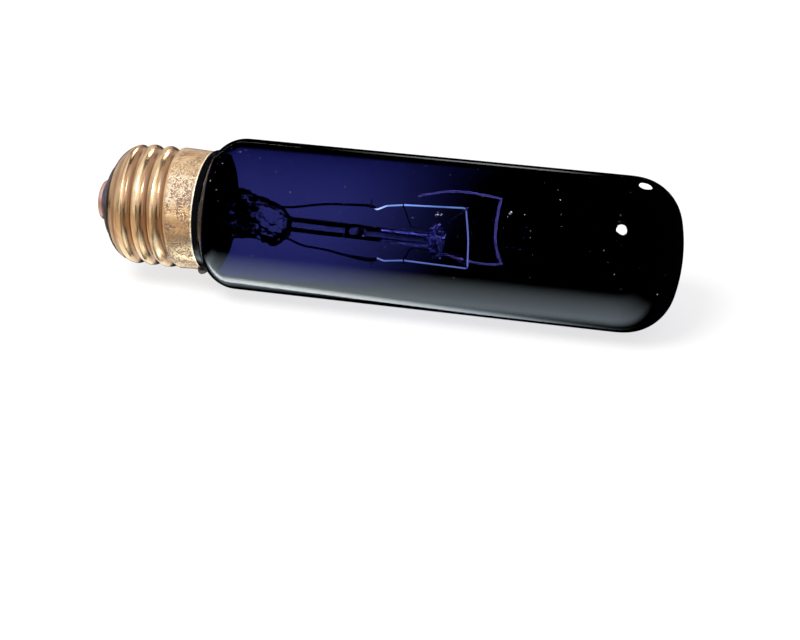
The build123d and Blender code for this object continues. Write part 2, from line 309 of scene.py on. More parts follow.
def makeTintedGlass():
    # deep blue-violet glass, tinted through its wall
    look = {"colour": (0.120, 0.134, 0.552, 1), "density": 2650.0, "shadow": (0.35, 0.38, 0.72, 1),
            "waves": 55.0, "waveBump": (0.04, 2.0)}
    material, tree = newMaterial("tintedGlass")
    wave = noiseNode(tree, objectCoords(tree), look["waves"], 1.0)
    shader = addNode(tree, "BsdfPrincipled", {
        "Base Color": (1, 1, 1, 1), "Roughness": 0.0, "IOR": 1.5, "Transmission Weight": 1.0,
        "Normal": bump(tree, wave, *look["waveBump"])})
    volume = addNode(tree, "VolumeAbsorption", {"Color": look["colour"], "Density": look["density"]})
    showSurface(tree, lightThrough(tree, shader, look["shadow"]), Volume=volume)
    return material


def paleCoatAndPaintedBands(tree, coords, normal, shader):
    # a pale coat that the filament lights: over the button, and in a thin and a broad band along the end of
    # the rod
    coatLook = {"rodPlaces": (37.8, 38.8), "buttonPlaces": (48.2, 48.6), "rodZ": 14.85,
             "bands": ((0.30, 0.80), (1.70, 2.95)), "bandEdge": 0.15, "cover": 0.9,
             "streaks": 520.0, "streak": (0.36, 0.52, 0.35, 1.0), "ridges": 700.0, "ridge": (0.05, 0.02),
             "coat": (0.80, 0.78, 0.84, 1), "darkBetweenRidges": (0.01, 0.01, 0.015, 1), "roughness": 0.7}
    along = aroundAxis(tree)["Along"]
    parts = addNode(tree, "SeparateXYZ", {0: coords}).outputs
    rise = mathNode(tree, "SUBTRACT", parts[2], coatLook["rodZ"] * mm)
    turn = mathNode(tree, "ARCTAN2", multiply(tree, parts[1], -1.0), rise)  # round the rod, in radians
    # painted light: the two bands stand in for the filament's light bent through the rod's upper and lower
    # edges
    band = 0.0
    for low, high in coatLook["bands"]:
        rising = rangeNode(tree, turn, low, low + coatLook["bandEdge"])
        falling = rangeNode(tree, turn, high, high - coatLook["bandEdge"])
        band = larger(tree, multiply(tree, rising, falling), band)
    streak = rangeNode(tree, noiseNode(tree, coords, coatLook["streaks"]), *coatLook["streak"])
    band = multiply(tree, band, streak, rangeNode(tree, along, *coatLook["rodPlaces"]))
    button = rangeNode(tree, along, *coatLook["buttonPlaces"])
    mask = multiply(tree, larger(tree, band, button), coatLook["cover"])
    # on the button the coat is left in a network of pale ridges, dark between them
    middle = mathNode(tree, "SUBTRACT", noiseNode(tree, coords, coatLook["ridges"], 1.0), 0.5)
    ridge = rangeNode(tree, mathNode(tree, "ABSOLUTE", middle), *coatLook["ridge"])
    tone = mixColour(tree, multiply(tree, fromOne(tree, ridge), button), coatLook["coat"], coatLook["darkBetweenRidges"])
    coat = addNode(tree, "BsdfPrincipled", {
        "Base Color": tone, "Roughness": coatLook["roughness"], "Normal": normal})
    return addNode(tree, "MixShader", {0: mask, 1: shader, 2: coat})


def makeClearGlass(name, lumps, bend, coated):
    # stem, rod and exhaust tube: pressed by hand, so the surface is never quite even
    look = {"colour": (0.97, 0.98, 0.98, 1), "shadow": (0.8, 0.8, 0.8, 1), "waves": 420.0, "waveDepth": 0.6,
            "patches": 900.0, "dull": (0.5, 0.75, 0.0, 0.12)}
    material, tree = newMaterial(name)
    coords = objectCoords(tree)
    normal = bump(tree, noiseNode(tree, coords, look["waves"], 2.0), lumps, look["waveDepth"])
    rough = rangeNode(tree, noiseNode(tree, coords, look["patches"]), *look["dull"])
    shader = addNode(tree, "BsdfPrincipled", {
        "Base Color": look["colour"], "Roughness": rough, "IOR": bend, "Transmission Weight": 1.0,
        "Normal": normal})
    if coated:
        shader = paleCoatAndPaintedBands(tree, coords, normal, shader)
    showSurface(tree, lightThrough(tree, shader, look["shadow"]))
    return material


def makeWire(name, colour, dark, roughness):
    # drawn wire with a little oxide on it
    look = {"clouds": 700.0, "oxide": (0.35, 0.7), "grain": 5200.0, "grainBump": (0.2, 0.04), "uneven": 0.2}
    material, tree = newMaterial(name)
    coords = objectCoords(tree)
    cloud = noiseNode(tree, coords, look["clouds"])
    grain = noiseNode(tree, coords, look["grain"], 2.0)
    tone = blend(tree, cloud, look["oxide"], (*colour, 1), (*dark, 1))
    principled(tree, {
        "Base Color": tone, "Metallic": 1.0,
        "Roughness": rangeNode(tree, grain, *midNoise, roughness, roughness + look["uneven"]),
        "Normal": bump(tree, grain, *look["grainBump"])})
    return material


def makeFilamentGlow():
    # lit softly from end to end; what it sheds on wires and button is violet, and the glass mirrors a
    # sleeve in its stead
    look = {"hot": (0.9, 1.15, 0.8, 1), "hotPlaces": (40.5, 37.5),
            "warm": (0.36, 0.62, 0.62, 1), "warmPlaces": (50.5, 46.0), "plain": (0.21, 0.39, 0.40, 1),
            "dim": (0.15, 0.20, 0.27, 1), "dimPlaces": (55.4, 56.4), "clouds": 260.0,
            "dimClouds": (0.55, 0.3, 0.0, 0.4), "dimHeights": (19 * mm, 9 * mm, 0.0, 0.85),
            "shed": (6.8, 8.0, 15.0, 1), "metal": (0.10, 0.10, 0.11, 1), "strength": 5.0}
    material, tree = newMaterial("filamentGlow")
    coords = objectCoords(tree)
    along = aroundAxis(tree)["Along"]
    height = addNode(tree, "SeparateXYZ", {0: coords}).outputs[2]
    tone = blend(tree, along, look["warmPlaces"], look["plain"], look["warm"])
    tone = blend(tree, along, look["hotPlaces"], tone, look["hot"])
    cooler = larger(tree, rangeNode(tree, along, *look["dimPlaces"]),
                    rangeNode(tree, noiseNode(tree, coords, look["clouds"], 2.0), *look["dimClouds"]),
                    rangeNode(tree, height, *look["dimHeights"]))
    tone = mixColour(tree, cooler, tone, look["dim"])
    path = lightPath(tree)
    shed = mixColour(tree, path["Is Glossy Ray"], look["shed"], (0, 0, 0, 1))
    principled(tree, {
        "Base Color": look["metal"], "Metallic": 1.0, "Roughness": 0.4,
        "Emission Color": mixColour(tree, path["Is Transmission Ray"], shed, tone),
        "Emission Strength": look["strength"]})
    return material


def makeBrassSheet():
    # gold crests, browner roots, and a pitted skirt, with a painted highlight along the rim
    look = {"gold": (0.90, 0.62, 0.34, 1), "clouds": 320.0, "dull": (0.35, 0.75, 0.22, 0.38),
            "tarnish": (0.60, 0.36, 0.19, 1), "tarnished": (0.42, 0.72, 0.0, 0.75),
            "root": (0.34, 0.17, 0.08, 1), "rootHeights": (12.95, 12.25),
            "rootPlaces": (-20.5, -17.5, 0.4, 0.9), "skirtPlaces": (-7.0, -5.6),
            "rim": (0.98, 0.84, 0.60, 1), "rimHighlightPlaces": (-0.4, -0.2, 0.0, 0.8),
            "lines": (1300, 40, 40), "lined": (0.50, 0.62, 0.0, 0.7), "lineBump": (0.6, 0.14),
            "pit": (0.17, 0.09, 0.05, 1), "pits": (2500.0, 420.0, 0.9), "strayPits": (1500.0, 200.0, 0.22),
            "pitCover": 0.95, "pitDull": 0.25, "pitMetal": 0.35, "pitBump": (0.5, 0.08),
            "grain": 3800.0, "grainBump": (0.18, 0.06)}
    material, tree = newMaterial("brassSheet")
    coords = objectCoords(tree)
    around = aroundAxis(tree)
    skirt = rangeNode(tree, around["Along"], *look["skirtPlaces"])
    thread = fromOne(tree, skirt)
    cloud = noiseNode(tree, coords, look["clouds"], 4.0, 0.6)
    tone = blend(tree, cloud, look["tarnished"], look["gold"], look["tarnish"])
    root = rangeNode(tree, around["Out"], *look["rootHeights"])
    root = multiply(tree, root, rangeNode(tree, around["Along"], *look["rootPlaces"]))
    tone = mixColour(tree, root, tone, look["root"])
    # fine lines left by the rolls
    stretched = addNode(tree, "Mapping", {"Vector": coords, "Scale": look["lines"]})
    lines = noiseNode(tree, stretched, 1.0, 2.0)
    lined = multiply(tree, rangeNode(tree, lines, *look["lined"]), thread)
    tone = mixColour(tree, lined, tone, look["root"])
    pits = multiply(tree, specks(tree, *look["pits"]), skirt)
    pits = larger(tree, pits, specks(tree, *look["strayPits"]))
    tone = mixColour(tree, multiply(tree, pits, look["pitCover"]), tone, look["pit"])
    # painted highlight: the last few tenths of a mm at the rim are painted pale cream where the edge catches
    # the light
    tone = blend(tree, around["Along"], look["rimHighlightPlaces"], tone, look["rim"])
    dull = multiply(tree, pits, look["pitDull"])
    rough = mathNode(tree, "ADD", rangeNode(tree, cloud, *look["dull"]), dull)
    normal = bump(tree, noiseNode(tree, coords, look["grain"]), *look["grainBump"])
    normal = bump(tree, multiply(tree, lines, thread), *look["lineBump"], normal)
    normal = bump(tree, multiply(tree, pits, -1.0), *look["pitBump"], normal)
    principled(tree, {
        "Base Color": tone, "Metallic": rangeNode(tree, pits, 0.0, 1.0, 1.0, look["pitMetal"]),
        "Roughness": rough, "Normal": normal, "Coat Weight": 0.3, "Coat Roughness": 0.12})
    return material


def makeInsulatorGlass():
    # nearly black moulded glass with a violet cast
    look = {"dark": (0.012, 0.008, 0.016, 1), "pale": (0.05, 0.032, 0.055, 1), "clouds": 480.0,
            "clouded": (0.35, 0.7), "roughness": (0.10, 0.28), "cloudBump": (0.25, 0.2),
            "speck": (0.45, 0.42, 0.42, 1), "specks": (1700.0, 400.0, 0.2), "speckCover": 0.6}
    material, tree = newMaterial("insulatorGlass")
    cloud = noiseNode(tree, objectCoords(tree), look["clouds"])
    tone = blend(tree, cloud, look["clouded"], look["dark"], look["pale"])
    cover = multiply(tree, specks(tree, *look["specks"]), look["speckCover"])
    principled(tree, {
        "Base Color": mixColour(tree, cover, tone, look["speck"]),
        "Roughness": rangeNode(tree, cloud, *midNoise, *look["roughness"]), "Coat Weight": 0.4,
        "Coat Roughness": 0.06, "Normal": bump(tree, cloud, *look["cloudBump"])})
    return material


def makeContactMetal(name, colour, worn, roughness):
    # contact metal, rubbed where a holder touched it
    look = {"clouds": 750.0, "rubbed": (0.38, 0.66), "uneven": 0.15,
            "grain": 3000.0, "grainBump": (0.3, 0.08),
            "speck": (0.10, 0.06, 0.045, 1), "specks": (2600.0, 500.0, 0.3), "speckCover": 0.7}
    material, tree = newMaterial(name)
    coords = objectCoords(tree)
    cloud = noiseNode(tree, coords, look["clouds"], 4.0, 0.6)
    tone = blend(tree, cloud, look["rubbed"], (*colour, 1), (*worn, 1))
    cover = multiply(tree, specks(tree, *look["specks"]), look["speckCover"])
    grain = noiseNode(tree, coords, look["grain"])
    principled(tree, {
        "Base Color": mixColour(tree, cover, tone, look["speck"]), "Metallic": 1.0,
        "Roughness": rangeNode(tree, grain, *midNoise, roughness, roughness + look["uneven"]),
        "Normal": bump(tree, grain, *look["grainBump"])})
    return material


def makeBasingCement():
    # black cement, glossy where it was squeezed out
    look = {"black": (0.002, 0.002, 0.003, 1), "lumps": 900.0, "lumpBump": (0.15, 0.2),
            "roughness": (0.03, 0.08), "dust": (0.30, 0.29, 0.27, 1), "specks": (2400.0, 300.0, 0.35),
            "dustCover": 0.2, "dustDull": 0.4}
    material, tree = newMaterial("basingCement")
    lumps = noiseNode(tree, objectCoords(tree), look["lumps"])
    dusty = specks(tree, *look["specks"])
    rough = rangeNode(tree, lumps, *midNoise, *look["roughness"])
    cover = multiply(tree, dusty, look["dustCover"])
    principled(tree, {
        "Base Color": mixColour(tree, cover, look["black"], look["dust"]),
        "Roughness": mathNode(tree, "ADD", rough, multiply(tree, dusty, look["dustDull"])),
        "Specular IOR Level": 0.25, "Normal": bump(tree, lumps, *look["lumpBump"])})
    return material


def makeDarkSolder():
    # burnt solder and flux of the side joint
    look = {"burnt": (0.02, 0.015, 0.012, 1), "bare": (0.16, 0.11, 0.07, 1), "bared": (0.4, 0.7),
            "metal": (0.45, 0.7, 0.2, 0.8), "roughness": (0.22, 0.5),
            "lumps": 1300.0, "lumpBump": (0.5, 0.2)}
    material, tree = newMaterial("darkSolder")
    lumps = noiseNode(tree, objectCoords(tree), look["lumps"], 4.0)
    principled(tree, {
        "Base Color": blend(tree, lumps, look["bared"], look["burnt"], look["bare"]),
        "Metallic": rangeNode(tree, lumps, *look["metal"]),
        "Roughness": rangeNode(tree, lumps, *midNoise, *look["roughness"]),
        "Normal": bump(tree, lumps, *look["lumpBump"])})
    return material


def makeDustFinish():
    look = {"dark": (0.30, 0.31, 0.36, 1), "pale": (0.78, 0.80, 0.84, 1), "clouds": 4000.0}
    material, tree = newMaterial("settledDust")
    cloud = noiseNode(tree, objectCoords(tree), look["clouds"], 2.0)
    tone = blend(tree, cloud, midNoise, look["dark"], look["pale"])
    principled(tree, {"Base Color": tone, "Roughness": 0.9})
    return material


tintedGlass = makeTintedGlass()
clearGlass = makeClearGlass("clearGlass", 0.3, 1.3, False)
smokedGlass = makeClearGlass("smokedGlass", 0.2, 1.52, True)
nickelWire = makeWire("nickelWire", (0.16, 0.155, 0.15), (0.05, 0.048, 0.045), 0.3)
copperCladWire = makeWire("copperCladWire", (0.42, 0.22, 0.14), (0.14, 0.06, 0.04), 0.32)
molybdenumWire = makeWire("molybdenumWire", (0.10, 0.10, 0.105), (0.03, 0.03, 0.032), 0.35)
filamentGlow = makeFilamentGlow()
brassSheet = makeBrassSheet()
insulatorGlass = makeInsulatorGlass()
contactBrass = makeContactMetal("contactBrass", (0.62, 0.42, 0.34), (0.70, 0.34, 0.22), 0.3)
contactTin = makeContactMetal("contactTin", (0.70, 0.54, 0.50), (0.46, 0.36, 0.34), 0.28)
basingCement = makeBasingCement()
darkSolder = makeDarkSolder()
settledDust = makeDustFinish()
print("finishes made")


# glass envelope

glass = {"radius": 16.238, "wall": 0.8, "length": 101.9, "crown": 34.4, "corner": 10.4, "shoulder": 6.9,
         "sweep": 5.0, "sweepStart": -1.9, "neck": 11.9, "neckEnd": 10.9, "neckEndPlace": -7.0, "ease": 2.4,
         "steps": 220}


def glassOutline(inset):
    # from the end of the neck to the middle of the dome
    radius, corner, crown = glass["radius"], glass["corner"], glass["crown"]
    sweep, shoulder, neck, start = glass["sweep"], glass["shoulder"], glass["neck"], glass["sweepStart"]
    bend = math.acos(1 - (radius - neck) / (sweep + shoulder))
    shoulderEnd = start + (sweep + shoulder) * math.sin(bend)
    crownPlace = glass["length"] - crown
    cornerHeight = radius - corner
    cornerReach = math.sqrt((crown - corner) ** 2 - cornerHeight**2)
    cornerPlace = crownPlace + cornerReach
    lean = math.degrees(math.atan2(cornerHeight, cornerReach))
    turn = math.degrees(bend)
    wall, ease = radius - inset, glass["ease"]
    outline = joinPoints(
        linePoints((glass["neckEndPlace"], glass["neckEnd"] - inset), (start, neck - inset), 1.5),
        arcPoints(start, neck + sweep, sweep + inset, -90, turn, 14),
        arcPoints(shoulderEnd, radius - shoulder, shoulder - inset, 90 + turn, -turn, 16),
        linePoints((shoulderEnd, wall), (cornerPlace - ease, wall), 4.0),
        linePoints((cornerPlace - ease, wall), (cornerPlace, wall), 0.4),
        arcPoints(cornerPlace, cornerHeight, corner - inset, 90, lean - 90, 28),
        arcPoints(crownPlace, 0, crown - inset, lean, -lean, 12))
    # the tube eases into the dome's corner, instead of turning at once
    eased = []
    for place, height in outline:
        run = min(2 * ease, max(0.0, place - cornerPlace + ease))
        begun = run**3 / (12 * ease * corner)
        turned = max(0.0, min(ease, place - cornerPlace)) ** 2 / (2 * corner)
        eased.append((place, height * (1 - (begun - turned) / radius)))
    return eased


glassSurface = glassOutline(0)


def glassHeight(place):
    # radius of the glass at a place, and how steeply it grows there
    for first, last in zip(glassSurface, glassSurface[1:]):
        if first[0] <= place <= last[0] and last[0] > first[0]:
            slope = (last[1] - first[1]) / (last[0] - first[0])
            return first[1] + slope * (place - first[0]), slope
    return glass["radius"], 0.0


def makeGlass():
    piece = turnPiece("glassEnvelope", glassSurface, glass["steps"])
    lining = turnPiece("glassLining", glassOutline(glass["wall"]), glass["steps"])
    lining.data.flip_normals()
    joinPieces(piece, lining)
    bpy.ops.object.mode_set(mode="EDIT")
    bpy.ops.mesh.select_mode(type="EDGE")
    bpy.ops.mesh.select_all(action="DESELECT")
    bpy.ops.mesh.select_non_manifold(extend=False, use_wire=False, use_boundary=True, use_multi_face=False,
                                     use_non_contiguous=False, use_verts=False)
    bpy.ops.mesh.bridge_edge_loops()  # closes the wall at the neck's end
    bpy.ops.object.mode_set(mode="OBJECT")
    bpy.ops.object.shade_smooth()
    smoothByAngle(piece, 40)
    finishPiece(piece, tintedGlass, "tinted_glass", "glass_envelope")


makeGlass()


# brass cap

cap = {"rim": 12.8, "crest": 13.03, "skirt": 6.2, "wall": 0.3, "pitch": 25.4 / 7, "arc": 1.19, "turns": 4,
       "threadEnd": -6.8, "threadAngle": 140, "runout": 1 / 3, "runoutRise": 0.2, "land": 0.02, "edge": 0.05,
       "edgeDepth": 0.012, "roundStart": -15.0, "round": 6.2, "roundTurn": 76, "steps": 240}


def threadHeight(place, angle):
    # height of the groove's wall over the axis, and infinite away from the groove
    pitch, arc = cap["pitch"], cap["arc"]
    flank = math.asin(pitch / 4 / arc)
    depth = 2 * arc * (1 - math.cos(flank))
    top = cap["crest"] + cap["land"]
    height = math.inf
    for turn in range(-cap["turns"] - 1, 2):
        travel = (angle - cap["threadAngle"]) / 360 + turn
        off = abs(place - cap["threadEnd"] - travel * pitch)
        if off > pitch / 2 or not -cap["turns"] <= travel <= cap["runout"]:
            continue
        rise = max(0.0, travel) / cap["runout"] * (depth + cap["runoutRise"])
        if off <= arc * math.sin(flank):
            wave = top - depth + arc - math.sqrt(arc**2 - off**2)
        else:
            wave = top - arc + math.sqrt(arc**2 - (pitch / 2 - off) ** 2)
        height = min(height, wave + rise)
    return height


def makeCap():
    start, crest = cap["roundStart"], cap["crest"]
    outline = joinPoints(
        linePoints((0, cap["rim"]), (-cap["skirt"], crest), 0.3),
        linePoints((-cap["skirt"], crest), (start, crest), 0.14),
        arcPoints(start, crest - cap["round"], cap["round"], 90, cap["roundTurn"], 58))
    piece = turnPiece("capShell", outline, cap["steps"])
    for vertex in piece.data.vertices:
        place, height, angle = fromAxis(vertex)
        groove = threadHeight(place, angle)
        # a small rounding where groove and form meet
        edge = max(0.0, 1 - abs(height - groove) / cap["edge"])
        scaleHeight(vertex, (min(height, groove) - cap["edgeDepth"] * edge**2) / height)
    selectOnly(piece)
    sheet = piece.modifiers.new("sheet", "SOLIDIFY")
    sheet.thickness = cap["wall"] * mm
    sheet.offset = -1  # inwards
    bpy.ops.object.modifier_apply(modifier=sheet.name)
    smoothByAngle(piece, 50)
    finishPiece(piece, brassSheet, "brass_sheet", "cap_shell")


makeCap()


# insulator and centre contact

contact = {"step": -21.6, "neckPlace": -22.7, "neck": 5.0, "face": -23.6, "faceRadius": 4.7, "hole": 0.9,
           "inner": -18.6, "play": 0.05, "corner": 0.25, "steps": 128}
eyelet = {"radius": 4.35, "thick": 1.0, "edge": 0.5, "dish": 3.2, "dishFloor": 2.9, "dishDepth": 0.12}
solder = {"radius": 2.6, "rise": 1.1, "flat": 0.8, "tip": 0.4, "fullness": 0.9, "foot": 0.1, "root": 0.6,
          "lumpScale": 620.0, "lump": 0.22, "lumpReach": 1.5, "lumpLoss": 0.4, "steps": 96}
eyeletFace = contact["face"] - eyelet["thick"]


def roundedCorners(points, radius, steps=5, longest=0.45):
    # a turned outline with the corners between its ends softened, by no more than a share of each side
    outline = [points[0]]
    for before, corner, after in zip(points, points[1:], points[2:]):
        corner = Vector(corner)
        near, far = Vector(before) - corner, Vector(after) - corner
        cut = min(radius, near.length * longest, far.length * longest)
        first, last = corner + near.normalized() * cut, corner + far.normalized() * cut
        for t in [i / steps for i in range(steps + 1)]:
            outline.append(tuple((1 - t) ** 2 * first + 2 * t * (1 - t) * corner + t * t * last))
    outline.append(points[-1])
    return joinPoints(outline)


def makeInsulator():
    seat = cap["round"] - cap["wall"] - contact["play"]
    centre = cap["crest"] - cap["round"]
    start = math.degrees(math.asin((cap["roundStart"] - contact["inner"]) / seat))
    seatRun = arcPoints(cap["roundStart"], centre, seat, 90 + start, cap["roundTurn"] - start, 12)
    outward = roundedCorners([
        seatRun[-1], (contact["step"], seatRun[-1][1]), (contact["neckPlace"], contact["neck"]),
        (contact["face"], contact["faceRadius"]), (contact["face"], contact["hole"]),
        (contact["inner"], contact["hole"]), seatRun[0]], contact["corner"])
    piece = turnPiece("capInsulator", joinPoints(seatRun, outward), contact["steps"])
    smoothByAngle(piece, 35)
    finishPiece(piece, insulatorGlass, "dark_insulator_glass", "insulator")


def makeEyelet():
    edge, floor = eyelet["edge"], eyeletFace + eyelet["dishDepth"]
    outline = joinPoints(
        [(contact["face"], contact["hole"]), (contact["face"], eyelet["radius"])],
        arcPoints(eyeletFace + edge, eyelet["radius"] - edge, edge, 90, 90, 8),
        [(eyeletFace, eyelet["dish"]), (floor, eyelet["dishFloor"]), (floor, contact["hole"]),
         (contact["face"], contact["hole"])])
    piece = turnPiece("contactEyelet", outline, contact["steps"])
    smoothByAngle(piece, 40)
    finishPiece(piece, contactBrass, "contact_brass", "contact_eyelet")


def makeContactSolder():
    rise, flat, root = solder["rise"], solder["flat"], contact["face"] + solder["root"]
    spread = solder["radius"] - flat
    quarter = [math.pi / 2 * i / 14 for i in range(15)]
    dome = [(eyeletFace - rise * math.cos(t) ** solder["fullness"], flat + spread * math.sin(t))
            for t in quarter]
    outline = joinPoints(
        [(eyeletFace - rise, 0), (eyeletFace - rise, solder["tip"])], dome,
        [(eyeletFace + solder["foot"], contact["hole"]), (root, contact["hole"]), (root, 0)])
    piece = turnPiece("contactSolder", outline, solder["steps"])
    base, tip = spot(eyeletFace, 0), spot(eyeletFace - rise, 0)
    for vertex in piece.data.vertices:  # soldered by hand: the dome is a little lumpy
        if vertex.co.x < base.x:
            lump = noise.noise(vertex.co * solder["lumpScale"]) * 0.5 + 0.5
            away = smoothStep(0.0, solder["lumpReach"], (vertex.co - tip).length / mm)
            vertex.co.x += lump * solder["lump"] * mm * (1 - away * solder["lumpLoss"])
    smoothByAngle(piece, 50)
    finishPiece(piece, contactTin, "solder", "contact_solder")


makeInsulator()
makeEyelet()
makeContactSolder()


# cement bead and side joint

bead = {"length": 1.65, "cove": 0.5, "depth": 4.6, "back": 0.35, "front": 0.33, "lap": 0.05, "lip": 0.02,
        "endSunk": 0.04, "seatSunk": 0.06, "unevenness": 0.25, "swayScale": 190.0, "swayLayer": 3.1,
        "rippleScale": 900.0, "ripple": 0.4, "steps": 200}
joint = {"angle": 142, "place": 0.45, "height": 13.1, "radius": 1.1, "shrink": 0.95, "lumpScale": 900.0,
         "lump": 0.14, "highest": 0.3, "fractal": (0.8, 2.1, 3)}


def makeBead():
    rim, length, depth = cap["rim"], bead["length"], bead["depth"]
    top = glassHeight(length)[0] - bead["endSunk"]
    shares = [i / 16 for i in range(17)]
    cove = [(length * t, rim - bead["lip"] + (top - rim) * t ** bead["cove"]) for t in shares]
    seatPlaces = [length - (length + depth) * t for t in shares]
    seat = [(place, glassHeight(place)[0] - bead["seatSunk"]) for place in seatPlaces]
    back = (-depth, rim - bead["back"])
    outline = joinPoints([back, (-bead["lap"], rim - bead["front"])], cove, seat, [back])
    piece = turnPiece("cementBead", outline, bead["steps"])
    for vertex in piece.data.vertices:  # squeezed out by hand, so thicker here and thinner there
        place, height, _ = fromAxis(vertex)
        surface = glassHeight(place)[0]
        if place < bead["lip"] or height < surface:
            continue
        off = (vertex.co - bulbAxis) * bead["swayScale"]
        sway = noise.noise(Vector((off.y, off.z, bead["swayLayer"])))
        sway += bead["ripple"] * noise.noise(vertex.co * bead["rippleScale"])
        scaleHeight(vertex, 1 + sway * bead["unevenness"] * (height - surface) / height)
    smoothByAngle(piece, 60)
    finishPiece(piece, basingCement, "basing_cement", "basing_cement")


def makeSideJoint():
    centre = spot(joint["place"], joint["height"], joint["angle"])
    bpy.ops.object.select_all(action="DESELECT")
    bpy.ops.mesh.primitive_ico_sphere_add(subdivisions=5, radius=joint["radius"] * mm, location=centre)
    piece = nameNew("sideJoint")
    bpy.ops.object.transform_apply(location=True, rotation=True, scale=True)
    for vertex in piece.data.vertices:
        off = vertex.co - centre
        lump = noise.fractal(vertex.co * joint["lumpScale"], *joint["fractal"])
        vertex.co = centre + off * (joint["shrink"] + joint["lump"] * min(lump, joint["highest"]))
    bpy.ops.object.shade_smooth()
    finishPiece(piece, darkSolder, "dark_solder", "side_solder")


makeBead()
makeSideJoint()


# wires

def newCurve(name, radius, **settings):
    curve = bpy.data.curves.new(name, "CURVE")
    curve.dimensions = "3D"
    curve.bevel_depth = radius * mm
    for key, value in settings.items():
        setattr(curve, key, value)
    return curve


def addRun(curve, kind, points, widths=None):
    spline = curve.splines.new(kind)
    spline.points.add(len(points) - 1)
    for knot, point, width in zip(spline.points, points, widths or [1.0] * len(points)):
        knot.co = (*point, 1)
        knot.radius = width
    if kind == "NURBS":
        spline.order_u = 3
        spline.use_endpoint_u = True


def curveToMesh(curve):
    piece = bpy.data.objects.new(curve.name, curve)
    scene.collection.objects.link(piece)
    selectOnly(piece)
    bpy.ops.object.convert(target="MESH")
    bpy.ops.object.shade_smooth()
    return bpy.context.object


# filament coil

coil = {"points": [(36.5, 4.7), (37.2, 4.2), (39.3, 5.3), (43.1, 5.9), (56.45, 6.6),
                   (57.05, -0.4), (56.95, -7.2), (43.0, -6.9), (38.6, -7.5), (37.1, -7.0)],
        "bends": [0.5, 2.5, 6.0, 0.6, 30.0, 0.6, 6.0, 1.5], "bendStep": 0.1, "outer": 0.18, "wire": 0.055,
        "pitch": 0.155, "perTurn": 9}


def filamentRoute(step):
    # evenly spaced points along the U with its rounded bends, and the way it goes at each
    points = [Vector(point) for point in coil["points"]]
    runs = [points[0]]
    for before, corner, after, radius in zip(points, points[1:], points[2:], coil["bends"]):
        near, far = (before - corner).normalized(), (after - corner).normalized()
        half = math.acos(max(-1, min(1, near.dot(far)))) / 2
        cut = radius / math.tan(half)
        middle = corner + (near + far).normalized() * (radius / math.sin(half))
        first, last = corner + near * cut, corner + far * cut
        startAngle = math.atan2(first.y - middle.y, first.x - middle.x)
        endAngle = math.atan2(last.y - middle.y, last.x - middle.x)
        sweep = (endAngle - startAngle + math.pi) % (2 * math.pi) - math.pi
        count = max(3, int(abs(sweep) * radius / coil["bendStep"]))
        turns = [startAngle + sweep * i / count for i in range(count + 1)]
        runs += [middle + radius * Vector((math.cos(t), math.sin(t))) for t in turns]
    runs.append(points[-1])
    even, carry = [], 0.0
    for a, b in zip(runs, runs[1:]):
        length = (b - a).length
        while carry < length:
            even.append((a.lerp(b, carry / length), (b - a).normalized()))
            carry += step
        carry -= length
    return even


def makeFilament():
    swing = coil["outer"] - coil["wire"]
    points = []
    for i, (point, along) in enumerate(filamentRoute(coil["pitch"] / coil["perTurn"])):
        turn = 2 * math.pi * i / coil["perTurn"]
        place = point.x - along.y * swing * math.cos(turn)
        height = point.y + along.x * swing * math.cos(turn)
        points.append(spot(place, height) + Vector((0, swing * math.sin(turn) * mm, 0)))
    curve = newCurve("filamentCoil", coil["wire"], bevel_resolution=1, use_fill_caps=True)
    addRun(curve, "POLY", points)
    finishPiece(curveToMesh(curve), filamentGlow, "tungsten", "filament")


makeFilament()


# lead wires, bent by hand from the press to the filament: place, height, thickness

lead = {"radius": 0.26, "hook": 0.12,
        "upper": [(14.4, 2.65, 1.0), (17.0, 2.6, 1.0), (19.4, 2.9, 1.0), (23.4, 3.85, 1.0),
                  (27.0, 4.45, 1.0), (31.5, 4.75, 1.0), (34.5, 4.95, 1.1), (36.2, 4.95, 1.5),
                  (37.1, 4.55, 0.8)],
        "upperHook": [(36.0, 5.0, 1.0), (36.0, 5.8, 1.0), (36.05, 6.6, 0.7)],
        "lower": [(14.4, -3.95, 1.0), (16.9, -4.45, 1.0), (20.3, -5.95, 1.0), (23.2, -6.15, 0.9),
                  (26.4, -6.4, 1.0), (30.3, -7.2, 1.1), (33.0, -7.45, 1.6), (35.6, -7.65, 1.9),
                  (37.2, -7.3, 1.2)],
        "lowerHook": [(36.2, -7.6, 1.0), (36.0, -8.3, 1.0), (35.7, -8.9, 0.7)]}


def makeLead(side):
    curve = newCurve(side + "Lead", lead["radius"], bevel_resolution=3, resolution_u=8, use_fill_caps=True)
    for run, share in ((lead[side], 1.0), (lead[side + "Hook"], lead["hook"] / lead["radius"])):
        points = [spot(place, height) for place, height, thick in run]
        addRun(curve, "NURBS", points, [thick * share for place, height, thick in run])
    finishPiece(curveToMesh(curve), nickelWire, "nickel_wire", "inner_lead_" + side)


makeLead("upper")
makeLead("lower")


# glass stem, and the rod with its button; dents are scale and strength of each noise in them

